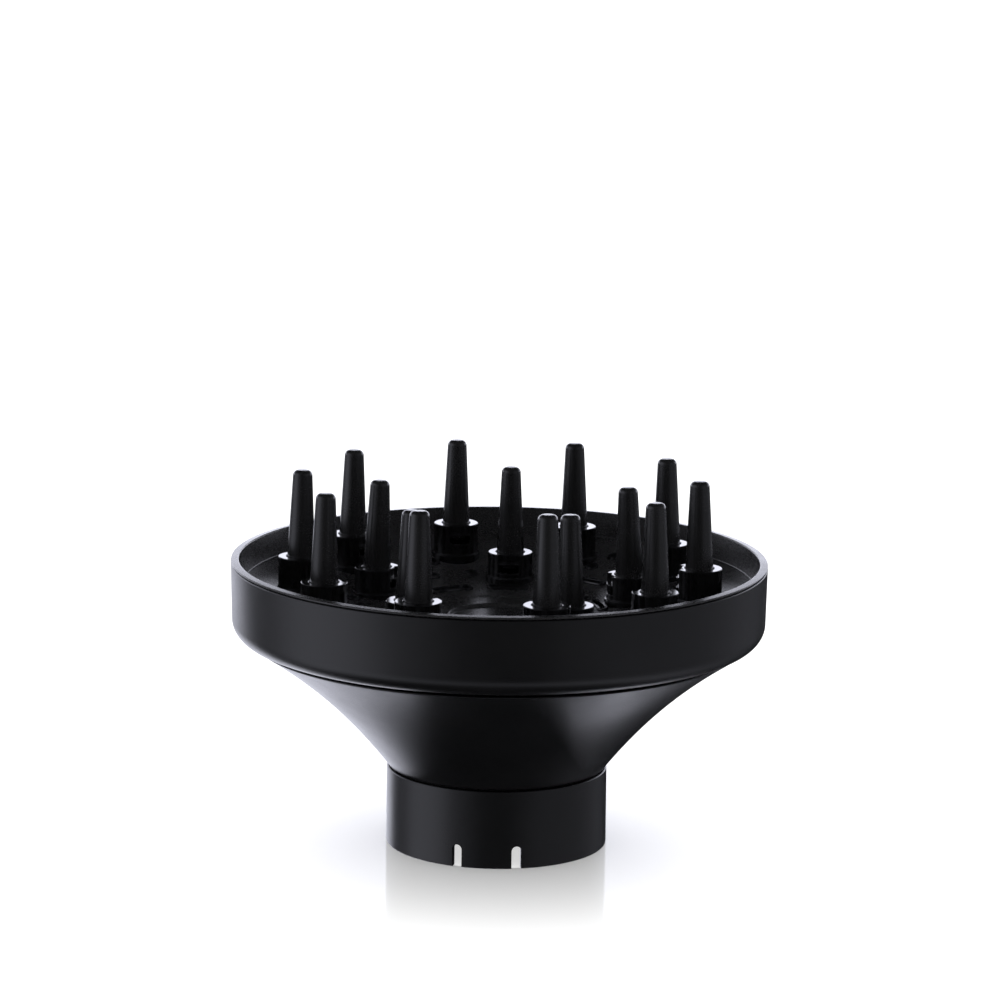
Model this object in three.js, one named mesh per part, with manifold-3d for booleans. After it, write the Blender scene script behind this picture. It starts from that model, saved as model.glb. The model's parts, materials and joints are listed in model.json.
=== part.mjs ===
// Bowl diffuser for a hair dryer, in millimetres, +Z up.
// The part stands on its collar: the origin is the centre of the collar's open end.
// An air cone widens from the collar to a rim band, and a dished plate carries a ring of
// five inner and a ring of ten outer fingers on hollow bosses that vent towards the middle.
// Azimuths are degrees from +X, anticlockwise seen from above, unless a name says otherwise.
import * as THREE from 'three';
import { mergeVertices } from 'three/addons/utils/BufferGeometryUtils.js';
import Module from 'manifold-3d';

const wasm = await Module();
wasm.setup();

// ---- Driving dimensions ---------------------------------------------------------------

const ROUND = 48;                 // facets round the large turned parts
const GAP = 0.3;                  // clearance between pieces that touch

// Collar: the sleeve that goes over the dryer's nozzle
const COLLAR_RADIUS = 31.1;
const COLLAR_WALL = 2.0;
const COLLAR_HEIGHT = 22.0;
const COLLAR_DRAFT = 0.1;         // how much smaller the radius is at the top
const EDGE_CHAMFER = 0.4;

// Grip tabs: short springy tongues of the collar, each between two slits
const TAB_AZIMUTHS = { front: -90, right: 30, left: 150 };
const SLIT_OFFSET_DEG = 15.5;     // each slit's angle from the middle of its tab
const SLIT_WIDTH = 2.8;
const SLIT_SHOULDER = 5.0;        // height where the slit's round end starts, the tab's hinge line

// Air cone: a trumpet whose radius grows as a cubic of the height above the neck
const NECK_Z = COLLAR_HEIGHT + GAP;
const CONE_NECK_RADIUS = 30.4;
const CONE_SLOPE = 0.775;
const CONE_FLARE = 0.004;         // per mm
const CONE_CURL = 0.00013;        // per square mm
const CONE_WALL = 2.6;            // measured level, so 1.4 to 2.1 across the slanted wall
const CONE_STEP_RADIUS = 64.8;    // narrower upper end that passes through the band's foot
const SPIGOT_DEPTH = 7.0;         // the cone's lower end goes this far into the collar
const SPIGOT_WALL = 1.5;
const CONE_STEP_WALL = 1.8;
const CONE_FLANGE = { reach: 1.9, thickness: 1.3 };  // ledge at the top that rests inside the rim band's foot

// Rim band: the tall ring round the bowl, rounded in at its foot
const RIM_RADIUS = 75.0;
const RIM_Z = 81.3;
const BAND_TOP_Z = 80.3;
const BAND_FOOT_Z = 58.6;
const BAND_DRAFT = 0.3;
const BAND_ROUND = { across: 5.7, up: 5.9 };
const SHADOW_GAP = 0.45;          // between the cone's upper edge and the band's foot
const BAND_WALL = 2.0;
const REBATE_RADIUS = 74.1;       // the thin upper wall that the plate's rim drops into
const REBATE_Z = 72.0;

// Diffuser plate: a dish with an upstanding wall and a flat lip
const DISH_CENTRE_Z = 64.8;
const DISH_RISE = 9.5;            // rise of the floor at DISH_RISE_RADIUS
const DISH_RISE_RADIUS = 72.0;
const DISH_RADIUS = 71.2;
const DISH_THICKNESS = 1.9;
const LIP_WIDTH = 2.2;
const LIP_THICKNESS = 0.65;

// Bosses: hollow round towers on the plate, notched and windowed towards the middle
const INNER_RING = { name: 'inner', count: 5, step: 72, first: 90, radius: 37.6, top: 75.3, lean: 1.8 };
const OUTER_RING = { name: 'outer', count: 10, step: 36, first: 72, radius: 55.9, top: 80.2, lean: 0.9 };
const BOSS_RADIUS = 6.4;
const BOSS_CAP = 3.0;
const BOSS_BORE = 4.25;
const BOSS_CAVITY = 5.0;
const WINDOW_WIDTH = 5.8;
const WINDOW_BOTTOM = 5.3;        // depth of the window's sill below the boss's top
const NOTCH_DEPTH = 2.5;
const NOTCH_INNER_RADIUS = 5.0;

// Fingers: tapered pins held under the boss's cap by a flange
const FINGER_TIP_RADIUS = 2.75;
const FINGER_ROOT_RADIUS = 3.95;
const FINGER_LENGTH = { inner: 25.0, outer: 24.6 };
const FINGER_TIP_ROUND = { across: 1.0, down: 1.5, crown: 0.2 };
const FINGER_FLANGE = { radius: 4.65, thickness: 0.9 };
const FINGER_CORE = { radius: 2.0, tipRadius: 1.1, length: 20.0 };

// Air holes in the dish, per fifth of the circle: angle from the inner finger's line,
// radius, and half the angle that an oblong hole covers (0 is a round hole)
const SLOT_WIDTH = 1.5;
const EYELET_RADIUS = 1.1;
const AIR_HOLES = [
  { at: 0, radius: 29.3, half: 8.6 },
  { at: 36, radius: 29.3, half: 7.6 },
  { at: 23.5, radius: 29.3, half: 0 },
  { at: -23.5, radius: 29.3, half: 0 },
  { at: 15.9, radius: 41.4, half: 0 },
  { at: -15.9, radius: 41.4, half: 0 },
  { at: 36, radius: 41.0, half: 4.4 },
  { at: 26.7, radius: 51.3, half: 0 },
  { at: -26.7, radius: 51.3, half: 0 },
  { at: 29.1, radius: 60.0, half: 0 },
  { at: -29.1, radius: 60.0, half: 0 },
];

// ---- Materials ------------------------------------------------------------------------

const satinBlack = new THREE.MeshStandardMaterial({ color: 0x131314, roughness: 0.42, metalness: 0 });
const grainedBlack = new THREE.MeshStandardMaterial({ color: 0x101011, roughness: 0.55, metalness: 0 });
const softBlack = new THREE.MeshStandardMaterial({ color: 0x151516, roughness: 0.5, metalness: 0 });

// ---- Solids ---------------------------------------------------------------------------

const radians = THREE.MathUtils.degToRad;

/** A turned solid from [radius, z] points that close on the axis or on themselves. */
function turned(points, facets = ROUND) {
  const profile = points.map(([radius, z]) => new THREE.Vector2(radius, z));
  return new THREE.LatheGeometry(profile, facets).rotateX(Math.PI / 2);
}

/** An outline in the XY plane, raised from bottom to top. */
function raised(shape, bottom, top, curveSegments = 2) {
  const options = { depth: top - bottom, bevelEnabled: false, curveSegments };
  return new THREE.ExtrudeGeometry(shape, options).translate(0, 0, bottom);
}

function box(x0, x1, y0, y1, z0, z1) {
  const shape = new THREE.BoxGeometry(x1 - x0, y1 - y0, z1 - z0);
  return shape.translate((x0 + x1) / 2, (y0 + y1) / 2, (z0 + z1) / 2);
}

/** The upright cylinder of a radius between two heights. */
function rod(radius, bottom, top, facets) {
  return turned([[0, bottom], [radius, bottom], [radius, top], [0, top]], facets);
}

function toSolid(geometry) {
  const bare = geometry.clone();
  bare.deleteAttribute('normal');
  bare.deleteAttribute('uv');
  const merged = mergeVertices(bare, 1e-4);
  return new wasm.Manifold(new wasm.Mesh({
    numProp: 3,
    vertProperties: new Float32Array(merged.attributes.position.array),
    triVerts: new Uint32Array(merged.index.array),
  }));
}

function toGeometry(solid) {
  const mesh = solid.getMesh();
  const geometry = new THREE.BufferGeometry();
  geometry.setAttribute('position', new THREE.BufferAttribute(mesh.vertProperties, 3));
  geometry.setIndex(new THREE.BufferAttribute(mesh.triVerts, 1));
  geometry.computeVertexNormals();
  return geometry;
}

const turnedTo = (geometry, azimuth) => geometry.rotateZ(radians(azimuth));
const joinAll = (solid, geometries) => geometries.reduce((sum, part) => sum.add(toSolid(part)), solid);
const cutAll = (solid, geometries) => geometries.reduce((rest, part) => rest.subtract(toSolid(part)), solid);

function piece(name, geometry, material) {
  const mesh = new THREE.Mesh(geometry, material);
  mesh.name = name;
  return mesh;
}

// ---- Collar and grip tabs -------------------------------------------------------------

function collarBlank() {
  const outer = COLLAR_RADIUS;
  const top = outer - COLLAR_DRAFT;
  const inner = outer - COLLAR_WALL;
  return toSolid(turned([
    [inner, EDGE_CHAMFER], [inner + EDGE_CHAMFER, 0], [outer - EDGE_CHAMFER, 0], [outer, EDGE_CHAMFER],
    [top, COLLAR_HEIGHT - EDGE_CHAMFER], [top - EDGE_CHAMFER, COLLAR_HEIGHT], [inner, COLLAR_HEIGHT],
    [inner, EDGE_CHAMFER],
  ]));
}

/** A slit with a round upper end, cut through the wall at an azimuth. */
function slit(azimuth) {
  const half = SLIT_WIDTH / 2;
  const outline = new THREE.Shape();
  outline.moveTo(-half, -1);
  outline.lineTo(half, -1);
  outline.lineTo(half, SLIT_SHOULDER);
  outline.absarc(0, SLIT_SHOULDER, half, 0, Math.PI, false);
  outline.closePath();
  const through = raised(outline, COLLAR_RADIUS - 2 * COLLAR_WALL, COLLAR_RADIUS + COLLAR_WALL);
  // stand the outline up, facing +X
  through.rotateX(Math.PI / 2).rotateZ(Math.PI / 2);
  return turnedTo(through, azimuth);
}

/** The wedge between the middles of a tab's two slits, up to a height. */
function tabWedge(azimuth, top) {
  const reach = 2 * COLLAR_RADIUS;
  const edge = radians(SLIT_OFFSET_DEG);
  const outline = new THREE.Shape([
    new THREE.Vector2(0, 0),
    new THREE.Vector2(reach * Math.cos(edge), -reach * Math.sin(edge)),
    new THREE.Vector2(reach * Math.cos(edge), reach * Math.sin(edge)),
  ]);
  return turnedTo(raised(outline, -1, top), azimuth);
}

function slitsOf(azimuth) {
  return [slit(azimuth - SLIT_OFFSET_DEG), slit(azimuth + SLIT_OFFSET_DEG)];
}

function collar() {
  const cuts = Object.values(TAB_AZIMUTHS).flatMap((azimuth) => [
    ...slitsOf(azimuth),
    tabWedge(azimuth, SLIT_SHOULDER + GAP / 2),
  ]);
  return piece('collar', toGeometry(cutAll(collarBlank(), cuts)), satinBlack);
}

function gripTab(name, azimuth) {
  const wedge = toSolid(tabWedge(azimuth, SLIT_SHOULDER - GAP / 2));
  const tongue = cutAll(collarBlank().intersect(wedge), slitsOf(azimuth));
  return piece(`grip_tab_${name}`, toGeometry(tongue), satinBlack);
}

// ---- Air cone -------------------------------------------------------------------------

function coneRadius(z) {
  const rise = z - NECK_Z;
  return CONE_NECK_RADIUS + CONE_SLOPE * rise + CONE_FLARE * rise ** 2 + CONE_CURL * rise ** 3;
}

function airCone() {
  const steps = 5;
  const top = BAND_FOOT_Z - SHADOW_GAP;
  const heights = Array.from({ length: steps + 1 }, (_, i) => NECK_Z + (top - NECK_Z) * i / steps);
  const outside = heights.map((z) => [coneRadius(z), z]);
  const inside = heights.slice(1, -1).reverse().map((z) => [coneRadius(z) - CONE_WALL, z]);
  const stepInner = CONE_STEP_RADIUS - CONE_STEP_WALL;
  const spigot = COLLAR_RADIUS - COLLAR_WALL - GAP;
  const flangeBottom = BAND_FOOT_Z + BAND_WALL + GAP;
  const flangeTop = flangeBottom + CONE_FLANGE.thickness;
  const flangeRadius = CONE_STEP_RADIUS + CONE_FLANGE.reach;
  return piece('air_cone', turned([
    [spigot - SPIGOT_WALL, NECK_Z - SPIGOT_DEPTH], [spigot, NECK_Z - SPIGOT_DEPTH], [spigot, NECK_Z],
    ...outside,
    [CONE_STEP_RADIUS, top], [CONE_STEP_RADIUS, flangeBottom],
    [flangeRadius, flangeBottom], [flangeRadius, flangeTop], [stepInner, flangeTop], [stepInner, top],
    ...inside,
    [spigot - SPIGOT_WALL, NECK_Z],
    [spigot - SPIGOT_WALL, NECK_Z - SPIGOT_DEPTH],
  ]), grainedBlack);
}

// ---- Rim band -------------------------------------------------------------------------

/** A quarter of an ellipse from its foot to its side, as [radius, z] points. */
function quarterRound(footRadius, footZ, across, up, steps) {
  return Array.from({ length: steps + 1 }, (_, i) => {
    const turn = (Math.PI / 2) * (i / steps);
    return [footRadius + across * Math.sin(turn), footZ + up * (1 - Math.cos(turn))];
  });
}

function rimBand() {
  const side = RIM_RADIUS - BAND_DRAFT;
  const foot = side - BAND_ROUND.across;
  const { across, up } = BAND_ROUND;
  const outside = quarterRound(foot, BAND_FOOT_Z, across, up, 5);
  const inside = quarterRound(foot, BAND_FOOT_Z + BAND_WALL, across - BAND_WALL, up - BAND_WALL, 3);
  return piece('rim_band', turned([
    [CONE_STEP_RADIUS + GAP, BAND_FOOT_Z],
    ...outside,
    [RIM_RADIUS, BAND_TOP_Z - EDGE_CHAMFER], [RIM_RADIUS - EDGE_CHAMFER, BAND_TOP_Z],
    [REBATE_RADIUS, BAND_TOP_Z], [REBATE_RADIUS, REBATE_Z], [side - BAND_WALL, REBATE_Z],
    ...inside.reverse(),
    [CONE_STEP_RADIUS + GAP, BAND_FOOT_Z + BAND_WALL],
    [CONE_STEP_RADIUS + GAP, BAND_FOOT_Z],
  ]), satinBlack);
}

// ---- Diffuser plate -------------------------------------------------------------------

const floorZ = (radius) => DISH_CENTRE_Z + DISH_RISE * (radius / DISH_RISE_RADIUS) ** 2;

function dish() {
  const steps = 4;
  const radii = Array.from({ length: steps + 1 }, (_, i) => DISH_RADIUS * i / steps);
  const floor = radii.map((radius) => [radius, floorZ(radius)]).reverse();
  const underside = radii.slice(0, -1).map((radius) => [radius, floorZ(radius) - DISH_THICKNESS]);
  const lipInner = RIM_RADIUS - LIP_WIDTH;
  const wallOuter = REBATE_RADIUS - GAP;
  return turned([
    ...underside,
    [DISH_RADIUS, REBATE_Z + GAP], [wallOuter - 0.2, REBATE_Z + GAP],
    [wallOuter, RIM_Z - LIP_THICKNESS], [RIM_RADIUS, RIM_Z - LIP_THICKNESS],
    [RIM_RADIUS, RIM_Z], [lipInner, RIM_Z],
    ...floor,
  ]);
}

/** What a boss adds to the plate, at the end of a radius along +X. */
function bossTower({ radius, top }) {
  // deep enough to meet the sloping floor on its low side, and still inside the dish's thickness
  const bottom = floorZ(radius - BOSS_RADIUS) - DISH_THICKNESS / 2;
  return rod(BOSS_RADIUS, bottom, top, 12).translate(radius, 0, 0);
}

/** What is cut from a boss: the finger's bore, the cavity, and the notch and window. */
function bossCuts({ radius, top }) {
  const half = WINDOW_WIDTH / 2;
  const outside = radius - BOSS_RADIUS - 1;
  const underside = floorZ(radius) - 5;
  return [
    rod(BOSS_BORE, top - BOSS_CAP - 1, top + 1, 12).translate(radius, 0, 0),
    rod(BOSS_CAVITY, underside, top - BOSS_CAP, 12).translate(radius, 0, 0),
    box(outside, radius - NOTCH_INNER_RADIUS, -half, half, top - NOTCH_DEPTH, top + 1),
    box(outside, radius - BOSS_BORE, -half, half, top - WINDOW_BOTTOM, top - BOSS_CAP),
  ];
}

/** A hole through the dish: round, or oblong along the circle of its radius. */
function airHole({ at, radius, half }) {
  const low = DISH_CENTRE_Z - 2 * DISH_THICKNESS;
  if (half === 0) return turnedTo(rod(EYELET_RADIUS, low, RIM_Z, 5).translate(radius, 0, 0), at);
  const reach = radians(half);
  const end = SLOT_WIDTH / 2;
  const outline = new THREE.Shape();
  const [x, y] = [radius * Math.cos(reach), radius * Math.sin(reach)];
  outline.absarc(0, 0, radius + end, -reach, reach, false);
  outline.absarc(x, y, end, reach, reach + Math.PI, false);
  outline.absarc(0, 0, radius - end, reach, -reach, true);
  outline.absarc(x, -y, end, Math.PI - reach, 2 * Math.PI - reach, false);
  return turnedTo(raised(outline, low, RIM_Z), at);
}

const azimuthsOf = ({ count, first, step }) => Array.from({ length: count }, (_, i) => first - i * step);

function diffuserPlate() {
  const rings = [INNER_RING, OUTER_RING];
  const towers = rings.flatMap((ring) => azimuthsOf(ring).map((at) => turnedTo(bossTower(ring), at)));
  const bossHoles = rings.flatMap((ring) => azimuthsOf(ring)
    .flatMap((at) => bossCuts(ring).map((cut) => turnedTo(cut, at))));
  const airHoles = azimuthsOf(INNER_RING)
    .flatMap((sector) => AIR_HOLES.map((hole) => turnedTo(airHole(hole), sector)));
  const plate = cutAll(joinAll(toSolid(dish()), towers), [...bossHoles, ...airHoles]);
  return piece('diffuser_plate', toGeometry(plate), satinBlack);
}

// ---- Fingers --------------------------------------------------------------------------

/** A finger standing on the Z axis, with z = 0 at its boss's top. */
function fingerShape(length) {
  const flangeTop = -BOSS_CAP - GAP;
  const flangeBottom = flangeTop - FINGER_FLANGE.thickness;
  const coreTop = flangeBottom + FINGER_CORE.length;
  return turned([
    [0, coreTop], [FINGER_CORE.tipRadius, coreTop], [FINGER_CORE.radius, flangeBottom],
    [FINGER_FLANGE.radius, flangeBottom], [FINGER_FLANGE.radius, flangeTop],
    [FINGER_ROOT_RADIUS, flangeTop], [FINGER_ROOT_RADIUS, 0],
    [FINGER_TIP_RADIUS, length - FINGER_TIP_ROUND.down],
    [FINGER_TIP_RADIUS - FINGER_TIP_ROUND.across, length - FINGER_TIP_ROUND.crown], [0, length],
  ], 12);
}

function fingers(ring) {
  return azimuthsOf(ring).map((azimuth, i) => {
    const finger = piece(`finger_${ring.name}_${i + 1}`, fingerShape(FINGER_LENGTH[ring.name]), softBlack);
    finger.position.set(ring.radius, 0, ring.top);
    finger.rotation.y = radians(-ring.lean);
    const spoke = new THREE.Group();
    spoke.rotation.z = radians(azimuth);
    spoke.add(finger);
    return spoke;
  });
}

// ---- The part -------------------------------------------------------------------------

const diffuser = new THREE.Group();
diffuser.add(
  collar(),
  ...Object.entries(TAB_AZIMUTHS).map(([name, azimuth]) => gripTab(name, azimuth)),
  airCone(),
  rimBand(),
  diffuserPlate(),
  ...fingers(INNER_RING),
  ...fingers(OUTER_RING),
);

export default diffuser;
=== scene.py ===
"""A bowl diffuser for a hair dryer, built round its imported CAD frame.

Every turned moulding is a finely faceted lathe with real fillets, placed from the CAD nodes' boxes.
Lengths are in metres; MM turns millimetres into metres.
"""

import itertools
import json
import math

import bmesh
import bpy
import numpy as np
from mathutils import Matrix, Vector


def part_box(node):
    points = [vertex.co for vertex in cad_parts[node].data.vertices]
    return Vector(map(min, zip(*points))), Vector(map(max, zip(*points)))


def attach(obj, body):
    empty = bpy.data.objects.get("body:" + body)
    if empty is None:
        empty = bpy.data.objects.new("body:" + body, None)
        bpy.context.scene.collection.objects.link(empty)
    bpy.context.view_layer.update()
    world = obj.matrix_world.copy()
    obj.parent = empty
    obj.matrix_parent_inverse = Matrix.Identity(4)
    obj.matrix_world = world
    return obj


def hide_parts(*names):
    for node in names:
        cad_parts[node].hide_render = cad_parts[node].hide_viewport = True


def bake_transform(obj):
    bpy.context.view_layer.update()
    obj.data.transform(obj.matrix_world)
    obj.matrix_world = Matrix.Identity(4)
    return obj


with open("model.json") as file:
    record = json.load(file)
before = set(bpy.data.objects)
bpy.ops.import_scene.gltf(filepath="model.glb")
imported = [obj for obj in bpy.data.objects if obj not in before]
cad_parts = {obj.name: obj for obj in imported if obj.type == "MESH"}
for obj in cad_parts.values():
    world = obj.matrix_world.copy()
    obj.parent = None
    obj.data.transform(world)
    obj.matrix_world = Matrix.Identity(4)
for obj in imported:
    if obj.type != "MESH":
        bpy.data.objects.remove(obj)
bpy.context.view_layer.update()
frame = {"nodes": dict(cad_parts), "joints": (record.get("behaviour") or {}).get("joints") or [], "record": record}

MM = 0.001

# ---- Sizes taken from the frame ------------------------------------------------------------

collar_low, collar_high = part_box("collar")
cone_low, cone_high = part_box("air_cone")
band_low, band_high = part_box("rim_band")
plate_low, plate_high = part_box("diffuser_plate")

COLLAR_RADIUS = collar_high.x
COLLAR_TOP = collar_high.z
SPIGOT_BOTTOM = cone_low.z
BAND_FOOT = band_low.z
BAND_TOP = band_high.z
RIM_RADIUS = plate_high.x
RIM_Z = plate_high.z
CONE_FLANGE_TOP = cone_high.z

# ---- Sizes of the details ------------------------------------------------------------------

FINE = 256                      # facets round the bowl
GAP = 0.3 * MM                  # clearance between neighbouring pieces
EDGE_FILLET = 0.35 * MM         # on the collar's, the band's and the plate's edges
CUT_MARGIN = 2 * MM             # how far a cutter reaches past what it cuts

COLLAR_FACETS = 288
COLLAR_WALL = 2.0 * MM
COLLAR_INNER_FILLET = 0.3 * MM
COLLAR_DRAFT = 0.1 * MM
SLIT_OFFSET = math.radians(15.5)  # either side of a tab's middle
SLIT_WIDTH = 2.8 * MM
SLIT_SHOULDER = 5.0 * MM
TAB_ROOT = 8.0 * MM             # height where a tab's skin joins the collar's

NECK_RADIUS = 30.4 * MM
CONE_SLOPE = 0.775
CONE_FLARE = 0.004 / MM
CONE_CURL = 0.00013 / MM ** 2
CONE_WALL = 2.6 * MM
CONE_STEP_RADIUS = 64.8 * MM
CONE_STEP_WALL = 1.8 * MM
CONE_FLANGE = 1.9 * MM
CONE_STEPS = 40                 # rings up the cone's curve
CONE_FILLET = 0.25 * MM
CONE_UPPER_FILLET = 0.5 * MM
SPIGOT_WALL = 1.5 * MM

BAND_DRAFT = 0.3 * MM
BAND_ACROSS = 5.7 * MM
BAND_UP = 5.9 * MM
SHADOW_GAP = 0.45 * MM          # between the cone's upper edge and the band's underside
FOOT_LIFT = 0.35 * MM           # the band's underside rises to its outer edge
BAND_WALL = 2.0 * MM
REBATE_FILLET = 0.15 * MM
REBATE_RADIUS = RIM_RADIUS - 0.9 * MM
REBATE_Z = RIM_Z - 9.3 * MM

DISH_CENTRE = RIM_Z - 16.5 * MM
DISH_RISE = 9.5 * MM
DISH_RISE_RADIUS = 72.0 * MM
DISH_RADIUS = 71.2 * MM
DISH_THICKNESS = 1.9 * MM
DISH_STEPS = 24                 # rings on the dish's underside
WALL_DRAFT = 0.2 * MM
WALL_FOOT = 0.5 * MM            # how far outside the dish the wall's inner face meets the floor
WALL_FOOT_FILLET = 0.4 * MM
LIP_WIDTH = 2.2 * MM
LIP_THICKNESS = 0.65 * MM
LIP_FILLET = 0.22 * MM
LIP_UNDER_FILLET = 0.12 * MM
LIP_FALL = 0.16 * MM            # the lip's outer edge is this much lower than its inner edge
GROOVE_RADIUS = 20.8 * MM       # thin witness circle on the floor
GROOVE_DEPTH = 0.25 * MM
RECESS_RADIUS = 13.6 * MM       # shallow round recess in the middle
RECESS_DEPTH = 0.7 * MM
RECESS_SLOPE = 0.7 * MM         # half the width of the slope round the recess

BOSS_RADIUS = 6.4 * MM
BOSS_BEVEL = 0.22 * MM
BOSS_CROWN = 0.6 * MM           # depth of the topmost ring of cells
BOSS_CAP = 3.0 * MM
BOSS_BORE = 4.2 * MM
BOSS_CAVITY = 5.0 * MM
BOSS_FOOT = 7.0 * MM
BOSS_FOOT_HEIGHT = 1.1 * MM
NOTCH_DEPTH = 2.5 * MM
WINDOW_BOTTOM = 5.3 * MM
WINDOW_HALF = 5                 # facets either side of the middle of a boss's window
BOSS_FACETS = 64

FINGER_FACETS = 56
FINGER_TIP = 2.75 * MM
FINGER_TAPER = 0.05             # growth of the radius per length
FINGER_TIP_ROUND = 1.5 * MM
FINGER_CROWN = 0.03 * MM        # how far the tip's flat rises to its middle
FINGER_SEAT = 0.5 * MM          # the shaft runs straight from this far below the boss's top
FINGER_LENGTH = {"inner": 25.0 * MM, "outer": 24.6 * MM}
FINGER_FLANGE = 4.65 * MM       # radius of the flange that sits under the boss's cap
FINGER_FLANGE_THICKNESS = 0.9 * MM
CORE_FOOT = 2.0 * MM            # radius of the hollow core at the flange and near its end
CORE_END = 1.1 * MM
CORE_LENGTH = 20 * MM
CORE_CROWN = 0.4 * MM

HOLE_RIM_WIDTH = 0.75 * MM
HOLE_RIM_HEIGHT = 0.7 * MM
HOLE_RIM_ROUND = 0.25 * MM
HOLE_RIM_FLARE = 0.15 * MM
HOLE_RIM_SUNK = 0.5 * MM        # how deep the rim's outside reaches into the plate
HOLE_GROWTH = 0.05 * MM         # a hole's cutter is this much wider than the rim's inside
SLOT_HALF_WIDTH = 0.75 * MM
EYELET_RADIUS = 1.1 * MM
# air holes in a fifth of the plate: angle from the inner finger, radius, half length in degrees
AIR_HOLES = [
    (0, 29.3 * MM, 8.6),
    (36, 29.3 * MM, 7.6),
    (23.5, 29.3 * MM, 0),
    (-23.5, 29.3 * MM, 0),
    (15.9, 41.4 * MM, 0),
    (-15.9, 41.4 * MM, 0),
    (36, 41.0 * MM, 4.4),
    (26.7, 51.3 * MM, 0),
    (-26.7, 51.3 * MM, 0),
    (29.1, 60.0 * MM, 0),
    (-29.1, 60.0 * MM, 0),
]
SECTORS = [math.radians(90 - 72 * i) for i in range(5)]

# the plastic's colours: the housings, the fingers and the plate, which catches a little more light
BLACK = (0.0013, 0.0013, 0.0015)
SOFT_BLACK = (0.0036, 0.0036, 0.0040)
PLATE_BLACK = (0.0062, 0.0062, 0.0068)

FLOOR_HALF = 12.0
FLOOR_COLOR = (0.8, 0.8, 0.8, 1)
FLOOR_ROUGHNESS = 0.07
PAINTED_FLOOR_GLOW = 0.62               # painted glow: the floor inside the collar emits light where it lies in shade, so that its slits show white
FLOOR_POLISH = 0.25             # specular level near the collar
FLOOR_POLISH_FADES = (45 * MM, 112 * MM)

# what the object reflects: azimuth of the middle in degrees, cosines where it starts and is full, level,
# and the heights (sine of the elevation) where it starts, is full, fades and ends
STUDIO = [
    (-163, 0.84, 0.995, 0.62, (-0.82, -0.60, 0.5, 0.8)),
    (-160, 0.45, 0.95, 0.32, (-0.82, -0.60, 0.5, 0.8)),
    (0, 0.26, 0.85, 0.20, (-0.95, -0.60, 0.5, 0.8)),
    (-95, -0.5, 0.3, 0.025, (-0.6, -0.3, 0.9, 1.0)),
    (-60, -0.3, 0.5, 0.42, (-0.88, -0.78, -0.68, -0.52)),
    (114, 0.905, 0.968, 2.2, (-0.80, -0.61, -0.4, 0.1)),
    (78.5, 0.9945, 0.998, 3.0, (-0.80, -0.75, -0.68, -0.62)),
    (95, 0.26, 0.64, 3.0, (-0.06, 0.02, 0.20, 0.38)),
]
STUDIO_DIM = 0.018
STUDIO_TINT = (0.95, 0.965, 1.10, 1)
SKY = 1.9                       # strength of the white light on the floor and the plastic

CAMERA_AZIMUTH = math.radians(4.73)
CAMERA_ELEVATION = math.radians(12.0)
CAMERA_ROLL = math.radians(0.765)
CAMERA_DISTANCE = 1.1786
CAMERA_LENS = 151.7
CAMERA_SENSOR = 36.0
AIM_RIGHT = -0.08 * MM          # the view's centre, from the rim's centre
AIM_UP = 16.2 * MM


# ---- Small helpers -------------------------------------------------------------------------

def polar(radius, angle):
    return radius * math.cos(angle), radius * math.sin(angle)


# ---- Materials -----------------------------------------------------------------------------

def add_node(tree, kind, **settings):
    """A shader node; settings whose name starts with in_ go to the input socket of that name."""
    node = tree.nodes.new(kind)
    for key, value in settings.items():
        if key.startswith("in_"):
            node.inputs[key[3:].replace("_", " ")].default_value = value
        else:
            setattr(node, key, value)
    return node


def combined(tree, operation, first, second):
    """A Math node's value; first and second are numbers or sockets."""
    node = add_node(tree, "ShaderNodeMath", operation=operation)
    for socket, value in zip(node.inputs, (first, second)):
        if isinstance(value, (int, float)):
            socket.default_value = value
        else:
            tree.links.new(value, socket)
    return node.outputs["Value"]


def noise(tree, place, size, detail, roughness=0.5):
    """Noise whose largest lumps are about size metres."""
    node = add_node(tree, "ShaderNodeTexNoise", in_Scale=1 / size, in_Detail=detail, in_Roughness=roughness)
    tree.links.new(place, node.inputs["Vector"])
    return node.outputs["Fac"]


def bumped(tree, height, depth, normal=None):
    node = add_node(tree, "ShaderNodeBump", in_Strength=1.0, in_Distance=depth)
    tree.links.new(height, node.inputs["Height"])
    if normal is not None:
        tree.links.new(normal, node.inputs["Normal"])
    return node.outputs["Normal"]


def moulded_plastic(name, color, roughness, grain, grain_depth, waviness=0.0):
    """Black moulded plastic: a fine grain from the mould, faint cloudy wear and uneven gloss.

    grain is the grain's size in metres, grain_depth its height and waviness the height of a broad swell."""
    material = bpy.data.materials.new(name)
    material.use_nodes = True
    tree = material.node_tree
    shader = tree.nodes["Principled BSDF"]
    shader.inputs["IOR"].default_value = 1.5
    place = add_node(tree, "ShaderNodeTexCoord").outputs["Object"]

    cloud = noise(tree, place, 14 * MM, 4.0, 0.6)
    tone = add_node(tree, "ShaderNodeValToRGB")
    for element, position, share in zip(tone.color_ramp.elements, (0.3, 0.75), (0.8, 1.25)):
        element.position = position
        element.color = (*[c * share for c in color], 1)
    tree.links.new(cloud, tone.inputs["Fac"])
    tree.links.new(tone.outputs["Color"], shader.inputs["Base Color"])

    speck = noise(tree, place, grain, 3.0, 0.55)
    gloss = add_node(tree, "ShaderNodeMapRange", in_From_Min=0.25, in_From_Max=0.75,
                     in_To_Min=roughness - 0.05, in_To_Max=roughness + 0.06)
    unevenness = combined(tree, "MULTIPLY", combined(tree, "ADD", speck, cloud), 0.5)
    tree.links.new(unevenness, gloss.inputs["Value"])
    tree.links.new(gloss.outputs["Result"], shader.inputs["Roughness"])

    swell = bumped(tree, noise(tree, place, 9 * MM, 1.0), waviness) if waviness else None
    tree.links.new(bumped(tree, speck, grain_depth, swell), shader.inputs["Normal"])
    return material


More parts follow.
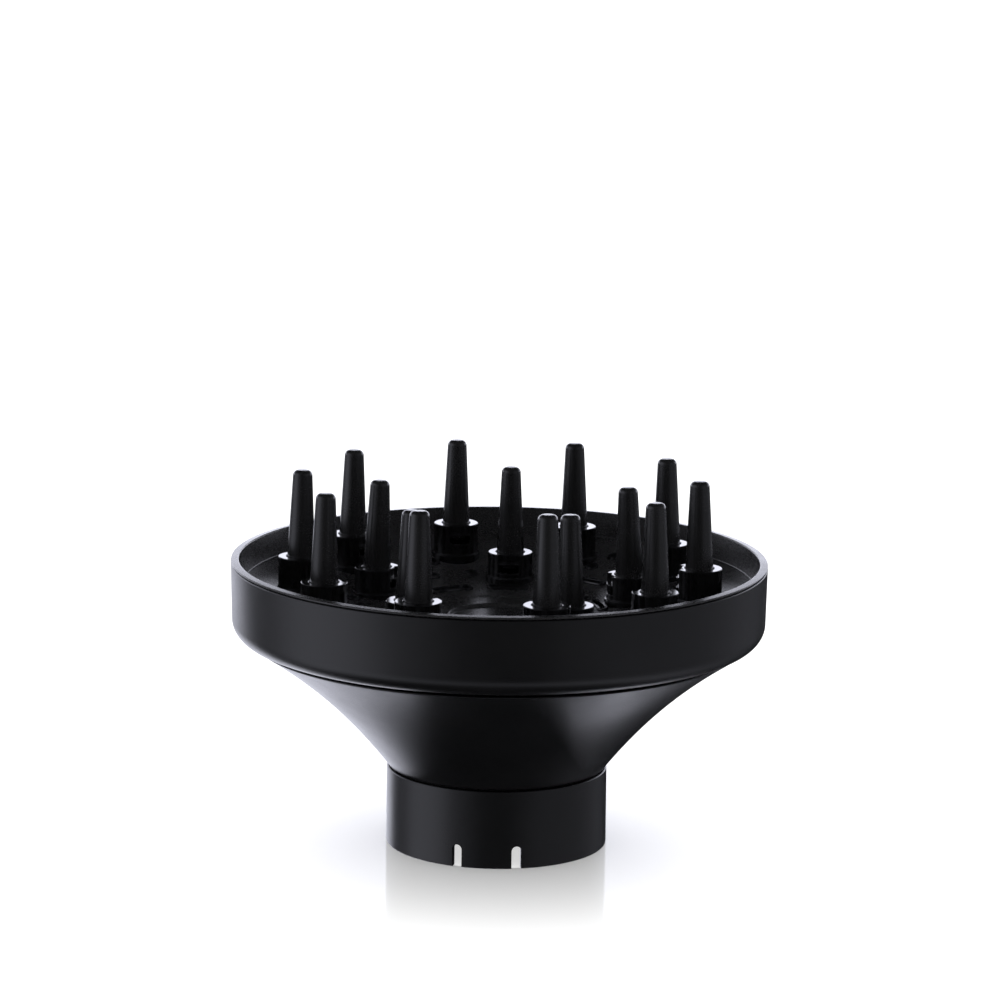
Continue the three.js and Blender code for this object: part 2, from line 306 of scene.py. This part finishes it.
BAND_SATIN = moulded_plastic("band_satin", BLACK, 0.33, 0.5 * MM, 0.004 * MM, waviness=0.02 * MM)
CONE_GRAIN = moulded_plastic("cone_grain", BLACK, 0.34, 0.4 * MM, 0.02 * MM)
COLLAR_SATIN = moulded_plastic("collar_satin", BLACK, 0.30, 0.45 * MM, 0.005 * MM, waviness=0.01 * MM)
PLATE_SATIN = moulded_plastic("plate_satin", PLATE_BLACK, 0.27, 0.4 * MM, 0.006 * MM)
BOSS_GLOSS = moulded_plastic("boss_gloss", BLACK, 0.10, 0.8 * MM, 0.002 * MM)
FINGER_SATIN = moulded_plastic("finger_satin", SOFT_BLACK, 0.25, 0.3 * MM, 0.005 * MM)


# ---- Meshes --------------------------------------------------------------------------------

def new_piece(name, verts, faces, material, smooth=True):
    mesh = bpy.data.meshes.new(name)
    mesh.from_pydata(verts, [], faces)
    mesh.validate()
    if material is not None:
        mesh.materials.append(material)
    piece = bpy.data.objects.new(name, mesh)
    bpy.context.scene.collection.objects.link(piece)
    bm = bmesh.new()
    bm.from_mesh(mesh)
    bmesh.ops.recalc_face_normals(bm, faces=bm.faces)
    for face in bm.faces:
        face.smooth = smooth
    bm.to_mesh(mesh)
    bm.free()
    return piece


def weigh_normals(piece):
    """Lets the large faces keep their own direction, so that fillets alone carry the turn."""
    modifier = piece.modifiers.new("weighted_normals", "WEIGHTED_NORMAL")
    modifier.weight = 100
    modifier.keep_sharp = True
    return piece


def bake_modifiers(piece):
    """Replaces a piece's mesh by what its modifiers make of it."""
    graph = bpy.context.evaluated_depsgraph_get()
    evaluated = piece.evaluated_get(graph)
    final = bpy.data.meshes.new_from_object(evaluated, preserve_all_data_layers=True, depsgraph=graph)
    piece.modifiers.clear()
    piece.data = final
    return piece


def filleted(corners, steps=5):
    """A closed outline of (radius, z) points from (radius, z, fillet) corners, each rounded by an arc."""
    outline = []
    count = len(corners)
    for i, corner in enumerate(corners):
        here = Vector(corner[:2])
        fillet = corner[2] if len(corner) > 2 else 0
        if not fillet:
            outline.append(here)
            continue
        back = Vector(corners[i - 1][:2]) - here
        ahead = Vector(corners[(i + 1) % count][:2]) - here
        angle = back.angle(ahead)
        reach = min(fillet / math.tan(angle / 2), 0.49 * min(back.length, ahead.length))
        radius = reach * math.tan(angle / 2)
        centre = here + (back.normalized() + ahead.normalized()).normalized() * (radius / math.sin(angle / 2))
        first = here + back.normalized() * reach - centre
        last = here + ahead.normalized() * reach - centre
        sweep = first.angle_signed(last)
        for k in range(steps + 1):
            outline.append(centre + Matrix.Rotation(-sweep * k / steps, 2) @ first)
    return [(p.x, p.y) for p in outline]


def lathe(name, outline, material, facets=FINE):
    """A closed outline of (radius, z) points turned round the Z axis. Points on the axis close it there."""
    verts, rings = [], []
    for radius, z in outline:
        if radius < 1e-7:
            rings.append([len(verts)] * facets)
            verts.append((0, 0, z))
            continue
        rings.append(list(range(len(verts), len(verts) + facets)))
        for k in range(facets):
            turn = 2 * math.pi * k / facets
            verts.append((*polar(radius, turn), z))
    faces = []
    for i, ring in enumerate(rings):
        following = rings[(i + 1) % len(rings)]
        if ring[0] == ring[1] and following[0] == following[1]:
            continue
        for k in range(facets):
            m = (k + 1) % facets
            corners = [ring[k], ring[m], following[m], following[k]]
            faces.append(list(dict.fromkeys(corners)))
    return new_piece(name, verts, faces, material)


def prism(name, outline, bottom, top):
    """A closed outline of (x, y) points raised from bottom to top."""
    count = len(outline)
    verts = [(x, y, z) for z in (bottom, top) for x, y in outline]
    faces = [list(range(count))[::-1], list(range(count, 2 * count))]
    faces += [[k, (k + 1) % count, count + (k + 1) % count, count + k] for k in range(count)]
    return new_piece(name, verts, faces, None, smooth=False)


def joined(name, pieces):
    """Several pieces as one object; their meshes are given in place."""
    bm = bmesh.new()
    for piece in pieces:
        piece.data.transform(piece.matrix_world)
        bm.from_mesh(piece.data)
    mesh = bpy.data.meshes.new(name)
    bm.to_mesh(mesh)
    bm.free()
    for piece in pieces:
        bpy.data.objects.remove(piece)
    result = bpy.data.objects.new(name, mesh)
    bpy.context.scene.collection.objects.link(result)
    return result


def boolean(piece, cutter, operation="DIFFERENCE"):
    """Cuts a piece by a closed cutter, or keeps only what is inside it."""
    modifier = piece.modifiers.new("cut", "BOOLEAN")
    modifier.operation = operation
    modifier.solver = "MANIFOLD"
    modifier.object = cutter
    return bake_modifiers(piece)


def copy_of(piece, name):
    twin = piece.copy()
    twin.data = piece.data.copy()
    twin.name = name
    bpy.context.scene.collection.objects.link(twin)
    return twin


def take_normals(piece, original):
    """Gives a cut piece the smooth shading of the uncut moulding it came from."""
    bpy.context.view_layer.update()
    modifier = piece.modifiers.new("shading", "DATA_TRANSFER")
    modifier.object = original
    modifier.use_loop_data = True
    modifier.data_types_loops = {"CUSTOM_NORMAL"}
    modifier.loop_mapping = "POLYINTERP_NEAREST"
    return bake_modifiers(piece)


def finish_piece(piece, body="root", replaces=()):
    """Hides the CAD nodes a piece stands for and attaches it to the body it rides on."""
    if replaces:
        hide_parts(*replaces)
    if body:
        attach(piece, body)
    return piece


# ---- Collar and its grip tabs --------------------------------------------------------------

def collar_outline():
    outer, inner = COLLAR_RADIUS, COLLAR_RADIUS - COLLAR_WALL
    return filleted([
        (inner, 0, EDGE_FILLET),
        (outer, 0, EDGE_FILLET),
        (outer - COLLAR_DRAFT, COLLAR_TOP, EDGE_FILLET),
        (inner, COLLAR_TOP, COLLAR_INNER_FILLET),
    ])


def slit_cutter(azimuth):
    """A slot with a round upper end, through the collar's wall at an azimuth."""
    half = SLIT_WIDTH / 2
    steps = 12
    arc = [polar(half, math.pi * k / steps) for k in range(steps + 1)]
    outline = [(-half, -CUT_MARGIN), (half, -CUT_MARGIN)] + [(x, SLIT_SHOULDER + y) for x, y in arc]
    cutter = prism("slit", outline, COLLAR_RADIUS - 2 * COLLAR_WALL, COLLAR_RADIUS + COLLAR_WALL)
    upright = Matrix(((0, 0, 1, 0), (1, 0, 0, 0), (0, 1, 0, 0), (0, 0, 0, 1)))
    cutter.data.transform(Matrix.Rotation(azimuth, 4, "Z") @ upright)
    return cutter


def tab_wedge(azimuth):
    """The space between the middles of a tab's two slits, up to the tab's root."""
    reach = 2 * COLLAR_RADIUS
    corners = [(0, 0), polar(reach, azimuth - SLIT_OFFSET), polar(reach, azimuth + SLIT_OFFSET)]
    return prism("wedge", corners, -CUT_MARGIN, TAB_ROOT)


def make_collar():
    """The collar, and a skin for each grip tab, all cut from one turned moulding."""
    moulding = lathe("collar_whole", collar_outline(), COLLAR_SATIN, COLLAR_FACETS)
    whole = bake_modifiers(weigh_normals(moulding))
    collar = copy_of(whole, "collar_moulding")
    for joint in frame["joints"]:
        pivot = Vector(joint["pos_m"])
        azimuth = math.atan2(pivot.y, pivot.x)
        node = frame["record"]["behaviour"]["bodies"][joint["child"]][0]
        slits = joined("slits", [slit_cutter(azimuth - SLIT_OFFSET), slit_cutter(azimuth + SLIT_OFFSET)])
        wedge = tab_wedge(azimuth)
        tab = copy_of(whole, node + "_skin")
        boolean(tab, wedge, "INTERSECT")
        boolean(tab, slits)
        boolean(collar, wedge)
        boolean(collar, slits)
        take_normals(tab, whole)
        finish_piece(tab, None, [node])
        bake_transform(tab)
        for used in (slits, wedge):
            bpy.data.objects.remove(used)
    take_normals(collar, whole)
    bpy.data.objects.remove(whole)
    finish_piece(collar, "root", ["collar"])


# ---- Air cone ------------------------------------------------------------------------------

def cone_radius(z):
    rise = z - COLLAR_TOP - GAP
    return NECK_RADIUS + CONE_SLOPE * rise + CONE_FLARE * rise ** 2 + CONE_CURL * rise ** 3


def make_cone():
    """The trumpet with the spigot that enters the collar and the flange inside the band."""
    neck = COLLAR_TOP + GAP
    top = BAND_FOOT - SHADOW_GAP
    spigot = COLLAR_RADIUS - COLLAR_WALL - GAP
    heights = [neck + (top - neck) * (k / CONE_STEPS) for k in range(1, CONE_STEPS)]
    flange_bottom = BAND_FOOT + BAND_WALL + GAP
    flange_radius = CONE_STEP_RADIUS + CONE_FLANGE
    step_inner = CONE_STEP_RADIUS - CONE_STEP_WALL
    outline = [
        (spigot - SPIGOT_WALL, SPIGOT_BOTTOM, CONE_FILLET),
        (spigot, SPIGOT_BOTTOM, CONE_FILLET),
        (spigot, neck),
        (cone_radius(neck), neck, CONE_FILLET),
    ]
    outline += [(cone_radius(z), z) for z in heights]
    outline += [
        (cone_radius(top), top, CONE_UPPER_FILLET),
        (CONE_STEP_RADIUS, top),
        (CONE_STEP_RADIUS, flange_bottom),
        (flange_radius, flange_bottom),
        (flange_radius, CONE_FLANGE_TOP),
        (step_inner, CONE_FLANGE_TOP),
        (step_inner, top),
    ]
    outline += [(cone_radius(z) - CONE_WALL, z) for z in reversed(heights)]
    outline += [(spigot - SPIGOT_WALL, neck)]
    cone = weigh_normals(lathe("air_cone_shell", filleted(outline, 3), CONE_GRAIN))
    finish_piece(cone, "root", ["air_cone"])


# ---- Rim band ------------------------------------------------------------------------------

def quarter_round(foot_radius, foot_z, across, up, steps):
    """A quarter of an ellipse from a foot up to a side."""
    return [(foot_radius + across * math.sin(math.pi / 2 * k / steps),
             foot_z + up * (1 - math.cos(math.pi / 2 * k / steps))) for k in range(steps + 1)]


def make_band():
    side = RIM_RADIUS - BAND_DRAFT
    foot = side - BAND_ACROSS
    hole = CONE_STEP_RADIUS + GAP
    inner_foot = BAND_FOOT + BAND_WALL
    outside = quarter_round(foot, BAND_FOOT + FOOT_LIFT, BAND_ACROSS, BAND_UP - FOOT_LIFT, 24)
    inside = quarter_round(foot, inner_foot, BAND_ACROSS - BAND_WALL, BAND_UP - BAND_WALL, 12)
    rebate = filleted([
        outside[-1],
        (RIM_RADIUS, BAND_TOP, EDGE_FILLET),
        (REBATE_RADIUS, BAND_TOP, REBATE_FILLET),
        (REBATE_RADIUS, REBATE_Z),
        (side - BAND_WALL, REBATE_Z),
    ])[1:]
    outline = [(hole, BAND_FOOT)] + outside + rebate + inside[::-1] + [(hole, inner_foot)]
    band = weigh_normals(lathe("rim_band_shell", outline, BAND_SATIN))
    finish_piece(band, "root", ["rim_band"])


# ---- Diffuser plate ------------------------------------------------------------------------

def floor_z(radius):
    return DISH_CENTRE + DISH_RISE * (radius / DISH_RISE_RADIUS) ** 2


def spread(first, last, steps):
    """Evenly spaced values from first to last."""
    return [first + (last - first) * k / steps for k in range(steps + 1)]


def floor_points():
    """The dish's upper surface from the wall's foot to the middle, with its witness circle and recess."""
    def at(radius, sink=0.0):
        return (radius, floor_z(radius) - sink)
    points = [at(r) for r in spread(DISH_RADIUS - 3.5 * MM, GROOVE_RADIUS + 3.4 * MM, 29)]
    points += [at(GROOVE_RADIUS + 0.3 * MM), at(GROOVE_RADIUS + 0.1 * MM, GROOVE_DEPTH),
               at(GROOVE_RADIUS - 0.1 * MM, GROOVE_DEPTH), at(GROOVE_RADIUS - 0.3 * MM)]
    points += [at(r) for r in spread(GROOVE_RADIUS - 0.5 * MM, RECESS_RADIUS + 1.2 * MM, 5)]
    points += [at(RECESS_RADIUS + RECESS_SLOPE * (1 - 2 * share), RECESS_DEPTH * share ** 2 * (3 - 2 * share))
               for share in spread(0, 1, 6)]
    points += [at(r, RECESS_DEPTH) for r in spread(RECESS_RADIUS - 2.3 * MM, 1.7 * MM, 6)]
    return points + [at(0, RECESS_DEPTH)]


def dish_outline():
    """The whole plate's section: underside, wall, lip and floor."""
    wall_outer = REBATE_RADIUS - GAP
    lip_bottom = RIM_Z - LIP_THICKNESS
    floor = floor_points()
    rim = filleted([
        (wall_outer - WALL_DRAFT, REBATE_Z + GAP),
        (wall_outer, lip_bottom),
        (RIM_RADIUS, lip_bottom, LIP_UNDER_FILLET),
        (RIM_RADIUS, RIM_Z - LIP_FALL, LIP_FILLET),
        (RIM_RADIUS - LIP_WIDTH, RIM_Z, EDGE_FILLET),
        (DISH_RADIUS + WALL_FOOT, floor_z(DISH_RADIUS), WALL_FOOT_FILLET),
        floor[0],
    ])[:-1]
    underside = [(r, floor_z(r) - DISH_THICKNESS) for r in spread(0, DISH_RADIUS, DISH_STEPS)[:-1]]
    return underside + [(DISH_RADIUS, REBATE_Z + GAP)] + rim + floor


def outward_from(centre, reach, first, steps):
    """Points at a distance from a centre, and their directions, one for each angle step from first."""
    directions = [Vector(polar(1, first + step)) for step in steps]
    return [(centre + out * reach, out) for out in directions]


def hole_outline(azimuth, radius, half_degrees, grow=0.0):
    """Points round an air hole and their outward directions, seen from above, anticlockwise."""
    if half_degrees == 0:
        centre = Vector(polar(radius, azimuth))
        return outward_from(centre, EYELET_RADIUS + grow, 0, spread(0, 2 * math.pi, 24)[:-1])
    reach = math.radians(half_degrees)
    half = SLOT_HALF_WIDTH + grow
    along = [Vector(polar(1, turn)) for turn in spread(azimuth - reach, azimuth + reach, 16)]
    outer_side = [(out * (radius + half), out) for out in along]
    inner_side = [(out * (radius - half), -out) for out in reversed(along)]
    half_turn = spread(0, math.pi, 8)[1:-1]
    left, right = azimuth + reach, azimuth - reach
    left_end = outward_from(Vector(polar(radius, left)), half, left, half_turn)
    right_end = outward_from(Vector(polar(radius, right)), half, right + math.pi, half_turn)
    return outer_side + left_end + inner_side + right_end


def hole_rim(azimuth, radius, half_degrees):
    """The raised rim round an air hole: a rounded section swept round the hole, in rings of vertices."""
    width, shoulder = HOLE_RIM_WIDTH, HOLE_RIM_HEIGHT - HOLE_RIM_ROUND
    section = [(0.0, -DISH_THICKNESS), (0.0, shoulder)]
    section += [(width / 2 * (1 - math.cos(turn)), shoulder + HOLE_RIM_ROUND * math.sin(turn))
                for turn in spread(0, math.pi, 8)[1:-1]]
    section += [(width, shoulder), (width + HOLE_RIM_FLARE, 0.0), (width + HOLE_RIM_FLARE, -HOLE_RIM_SUNK),
                (width / 2, -DISH_THICKNESS)]
    ring = hole_outline(azimuth, radius, half_degrees)
    verts = []
    for point, out in ring:
        for across, height in section:
            p = point + out * across
            verts.append((p.x, p.y, floor_z(p.length) + height))
    count, deep = len(ring), len(section)
    faces = []
    for i in range(count):
        here, following = i * deep, (i + 1) % count * deep
        for j in range(deep):
            m = (j + 1) % deep
            faces.append([here + j, following + j, following + m, here + m])
    return verts, faces


def make_hole_rims():
    verts, faces = [], []
    for sector in SECTORS:
        for at, radius, half in AIR_HOLES:
            more, sides = hole_rim(sector + math.radians(at), radius, half)
            faces += [[i + len(verts) for i in side] for side in sides]
            verts += more
    rims = weigh_normals(new_piece("air_hole_rims", verts, faces, BOSS_GLOSS))
    finish_piece(rims)


def make_plate(bosses):
    """The dished plate with its wall and lip, open at the air holes and under the bosses."""
    whole = bake_modifiers(weigh_normals(lathe("plate_whole", dish_outline(), PLATE_SATIN)))
    plate = copy_of(whole, "diffuser_plate_dish")
    outlines = []
    for sector in SECTORS:
        for at, radius, half in AIR_HOLES:
            ring = hole_outline(sector + math.radians(at), radius, half, HOLE_GROWTH)
            outlines.append([tuple(point) for point, _ in ring])
    circle = [polar(BOSS_CAVITY, turn) for turn in spread(0, 2 * math.pi, 48)[:-1]]
    outlines += [[(boss["x"] + x, boss["y"] + y) for x, y in circle] for boss in bosses]
    bottom = plate_low.z - CUT_MARGIN
    cutter = joined("holes", [prism("hole", outline, bottom, RIM_Z) for outline in outlines])
    boolean(plate, cutter)
    take_normals(plate, whole)
    for used in (cutter, whole):
        bpy.data.objects.remove(used)
    finish_piece(plate, "root", ["diffuser_plate"])


# ---- Bosses --------------------------------------------------------------------------------

# a cell's neighbours, each with the corners of the face between, as steps of turn, ring and level
CELL_SIDES = [
    ((-1, 0, 0), ((0, 0, 0), (0, 1, 0), (0, 1, 1), (0, 0, 1))),
    ((1, 0, 0), ((1, 0, 0), (1, 0, 1), (1, 1, 1), (1, 1, 0))),
    ((0, -1, 0), ((0, 0, 0), (0, 0, 1), (1, 0, 1), (1, 0, 0))),
    ((0, 1, 0), ((0, 1, 0), (1, 1, 0), (1, 1, 1), (0, 1, 1))),
    ((0, 0, -1), ((0, 0, 0), (1, 0, 0), (1, 1, 0), (0, 1, 0))),
    ((0, 0, 1), ((0, 0, 1), (0, 1, 1), (1, 1, 1), (1, 0, 1))),
]


def stepped(cell, step):
    return tuple(place + more for place, more in zip(cell, step))


def boss_cell_filled(turn, ring, level):
    """Whether a cell of a boss is solid.

    turn counts facets from the window's middle, ring counts outwards and level upwards."""
    in_window = -WINDOW_HALF <= turn < WINDOW_HALF
    foot, wall, window, cap, ledge, crown = range(6)
    bore, cap_ring, wall_ring, foot_ring = range(4)
    if ring == bore:
        return False
    if ring == foot_ring:
        return level == foot
    if ring == cap_ring:
        return level in (cap, ledge, crown)
    return not in_window or level in (foot, wall, cap)


def make_boss(name, x, y, top):
    """A boss as solid cells between rings, levels and turns, with faces only between solid and air."""
    radius = math.hypot(x, y)
    inward = math.atan2(-y, -x)
    rings = [0, BOSS_BORE, BOSS_CAVITY, BOSS_RADIUS, BOSS_FOOT]
    levels = [floor_z(radius - BOSS_FOOT) - 0.5 * DISH_THICKNESS, floor_z(radius) + BOSS_FOOT_HEIGHT,
              top - WINDOW_BOTTOM, top - BOSS_CAP, top - NOTCH_DEPTH, top - BOSS_CROWN, top]
    verts, index, faces = [], {}, []

    def corner(turn, ring, level):
        key = (turn % BOSS_FACETS, ring, level)
        if key not in index:
            across, along = polar(rings[ring], inward + 2 * math.pi * key[0] / BOSS_FACETS)
            index[key] = len(verts)
            verts.append((x + across, y + along, levels[level]))
        return index[key]

    def filled(turn, ring, level):
        if not (0 <= ring < len(rings) - 1 and 0 <= level < len(levels) - 1):
            return False
        half = BOSS_FACETS // 2
        return boss_cell_filled((turn + half) % BOSS_FACETS - half, ring, level)

    cells = itertools.product(range(BOSS_FACETS), range(1, len(rings) - 1), range(len(levels) - 1))
    for cell in cells:
        if not filled(*cell):
            continue
        for neighbour, corners in CELL_SIDES:
            if not filled(*stepped(cell, neighbour)):
                faces.append([corner(*stepped(cell, step)) for step in corners])
    boss = new_piece(name, verts, faces, BOSS_GLOSS)
    bevel = boss.modifiers.new("rounded_edges", "BEVEL")
    bevel.width = BOSS_BEVEL
    bevel.segments = 3
    bevel.limit_method = "ANGLE"
    bevel.angle_limit = math.radians(40)
    bevel.use_clamp_overlap = False
    bevel.harden_normals = True
    bake_modifiers(boss)
    weigh_normals(boss)
    return finish_piece(boss)


# ---- Fingers -------------------------------------------------------------------------------

def finger_axis(node):
    """The tip and the unit direction of a finger, from its CAD solid."""
    points = np.array([v.co for v in frame["nodes"][node].data.vertices])
    tip = Vector(points[points[:, 2].argmax()])
    direction = (tip - Vector(points.mean(axis=0))).normalized()
    return tip, direction


def finger_points(length):
    """Outline from the tip's middle down the outside and back up the hollow core."""
    rounding = FINGER_TIP_ROUND
    flat = FINGER_TIP - rounding
    wide = FINGER_TIP + FINGER_TAPER * (length - rounding)
    root = -BOSS_CAP - GAP
    flange_bottom = root - FINGER_FLANGE_THICKNESS
    core_top = flange_bottom + CORE_LENGTH
    points = [(0, length), (flat / 2, length - FINGER_CROWN / 3)]
    points += [(flat + rounding * math.sin(turn), length - FINGER_CROWN - rounding * (1 - math.cos(turn)))
               for turn in spread(0, math.pi / 2, 10)]
    points += [(FINGER_TIP + (wide - FINGER_TIP) * share, (length - rounding) * (1 - share))
               for share in spread(0, 1, 10)[1:]]
    points += [(wide, -FINGER_SEAT), (wide, root), (FINGER_FLANGE, root), (FINGER_FLANGE, flange_bottom)]
    return points + [(CORE_FOOT, flange_bottom), (CORE_END, core_top), (0, core_top + CORE_CROWN)]


def make_finger(node):
    """A finger that stands for its CAD node; gives the place of its boss."""
    tip, direction = finger_axis(node)
    length = FINGER_LENGTH["inner" if "inner" in node else "outer"]
    finger = lathe(node + "_pin", finger_points(length), FINGER_SATIN, FINGER_FACETS)
    base = tip - direction * length
    turn = Vector((0, 0, 1)).rotation_difference(direction).to_matrix().to_4x4()
    finger.data.transform(Matrix.Translation(base) @ turn)
    weigh_normals(finger)
    finish_piece(finger, "root", [node])
    return {"name": node.replace("finger", "boss"), "x": base.x, "y": base.y, "top": base.z}


# ---- The object ----------------------------------------------------------------------------

make_collar()
make_cone()
make_band()
bosses = [make_finger(node) for node in sorted(frame["nodes"]) if node.startswith("finger_")]
make_plate(bosses)
make_hole_rims()
for boss in bosses:
    make_boss(**boss)


# ---- Stage, lights and camera --------------------------------------------------------------

def plane(name, half):
    mesh = bpy.data.meshes.new(name)
    corners = [(-half, -half, 0), (half, -half, 0), (half, half, 0), (-half, half, 0)]
    mesh.from_pydata(corners, [], [(0, 1, 2, 3)])
    piece = bpy.data.objects.new(name, mesh)
    bpy.context.scene.collection.objects.link(piece)
    material = bpy.data.materials.new(name)
    material.use_nodes = True
    mesh.materials.append(material)
    return piece, material.node_tree


def eased(tree, value, low, high, at_low=0.0, at_high=1.0):
    """A value eased from at_low, where it is low, to at_high, where it is high."""
    node = add_node(tree, "ShaderNodeMapRange", interpolation_type="SMOOTHSTEP", in_From_Min=low,
                    in_From_Max=high, in_To_Min=at_low, in_To_Max=at_high)
    tree.links.new(value, node.inputs["Value"])
    return node.outputs["Result"]


def make_floor():
    """A pale, slightly polished floor that only the camera sees, with a painted glow inside the collar."""
    floor, tree = plane("floor", FLOOR_HALF)
    shader = tree.nodes["Principled BSDF"]
    shader.inputs["Base Color"].default_value = FLOOR_COLOR
    shader.inputs["Roughness"].default_value = FLOOR_ROUGHNESS
    shader.inputs["Emission Color"].default_value = (1, 1, 1, 1)
    place = add_node(tree, "ShaderNodeTexCoord")
    radius = add_node(tree, "ShaderNodeVectorMath", operation="LENGTH")
    tree.links.new(place.outputs["Object"], radius.inputs[0])
    # painted light: the floor inside the collar glows where it would lie in shade
    glow = eased(tree, radius.outputs["Value"], COLLAR_RADIUS - COLLAR_WALL, COLLAR_RADIUS, PAINTED_FLOOR_GLOW, 0)
    tree.links.new(glow, shader.inputs["Emission Strength"])
    polish = eased(tree, radius.outputs["Value"], *FLOOR_POLISH_FADES, FLOOR_POLISH, 0)
    tree.links.new(polish, shader.inputs["Specular IOR Level"])
    floor.visible_glossy = False
    floor.visible_diffuse = False


def lobe(tree, bearing, azimuth, start, full, level):
    """Brightness that grows to a level as a bearing's cosine to an azimuth goes from start to full."""
    toward = add_node(tree, "ShaderNodeVectorMath", operation="DOT_PRODUCT")
    toward.inputs[1].default_value = (*polar(1, math.radians(azimuth)), 0)
    tree.links.new(bearing, toward.inputs[0])
    return eased(tree, toward.outputs["Value"], start, full, 0, level)


def bearing_of(tree, direction):
    """The level part of a direction, as a unit vector."""
    flat = add_node(tree, "ShaderNodeVectorMath", operation="MULTIPLY")
    flat.inputs[1].default_value = (1, 1, 0)
    tree.links.new(direction, flat.inputs[0])
    bearing = add_node(tree, "ShaderNodeVectorMath", operation="NORMALIZE")
    tree.links.new(flat.outputs["Vector"], bearing.inputs[0])
    return bearing.outputs["Vector"]


def make_world():
    """White for the camera and for scattered light; softboxes and a lit backdrop for the reflections."""
    world = bpy.data.worlds.new("studio")
    bpy.context.scene.world = world
    world.use_nodes = True
    world.cycles.sampling_method = "NONE"
    tree = world.node_tree
    tree.nodes.clear()
    direction = add_node(tree, "ShaderNodeTexCoord").outputs["Generated"]
    split = add_node(tree, "ShaderNodeSeparateXYZ")
    tree.links.new(direction, split.inputs["Vector"])
    height = split.outputs["Z"]
    bearing = bearing_of(tree, direction)
    total = STUDIO_DIM
    for azimuth, start, full, level, (low_start, low_full, high_fades, high_ends) in STUDIO:
        across = lobe(tree, bearing, azimuth, start, full, level)
        rising = eased(tree, height, low_start, low_full)
        falling = eased(tree, height, high_fades, high_ends, 1, 0)
        glow = combined(tree, "MULTIPLY", combined(tree, "MULTIPLY", across, rising), falling)
        total = combined(tree, "ADD", glow, total)
    white = add_node(tree, "ShaderNodeBackground", in_Color=(1, 1, 1, 1), in_Strength=SKY)
    studio = add_node(tree, "ShaderNodeBackground", in_Color=STUDIO_TINT)
    tree.links.new(total, studio.inputs["Strength"])
    path = add_node(tree, "ShaderNodeLightPath")
    mix = add_node(tree, "ShaderNodeMixShader")
    tree.links.new(path.outputs["Is Glossy Ray"], mix.inputs["Fac"])
    tree.links.new(white.outputs["Background"], mix.inputs[1])
    tree.links.new(studio.outputs["Background"], mix.inputs[2])
    out = add_node(tree, "ShaderNodeOutputWorld")
    tree.links.new(mix.outputs["Shader"], out.inputs["Surface"])


def make_camera():
    data = bpy.data.cameras.new("camera")
    data.lens = CAMERA_LENS
    data.sensor_width = CAMERA_SENSOR
    camera = bpy.data.objects.new("camera", data)
    bpy.context.scene.collection.objects.link(camera)
    right = Vector((*polar(1, CAMERA_AZIMUTH), 0))
    level, rise = polar(1, CAMERA_ELEVATION)
    back = Vector((right.y * level, -right.x * level, rise))
    up = back.cross(right)
    rim_centre = Vector((0, 0, RIM_Z))
    camera.location = rim_centre + back * CAMERA_DISTANCE
    aim = rim_centre + right * AIM_RIGHT + up * AIM_UP
    look = (aim - camera.location).to_track_quat("-Z", "Y")
    camera.rotation_mode = "QUATERNION"
    camera.rotation_quaternion = look @ Matrix.Rotation(CAMERA_ROLL, 4, "Z").to_quaternion()
    bpy.context.scene.camera = camera


make_floor()
make_world()
make_camera()
bpy.context.scene.view_settings.view_transform = "Standard"
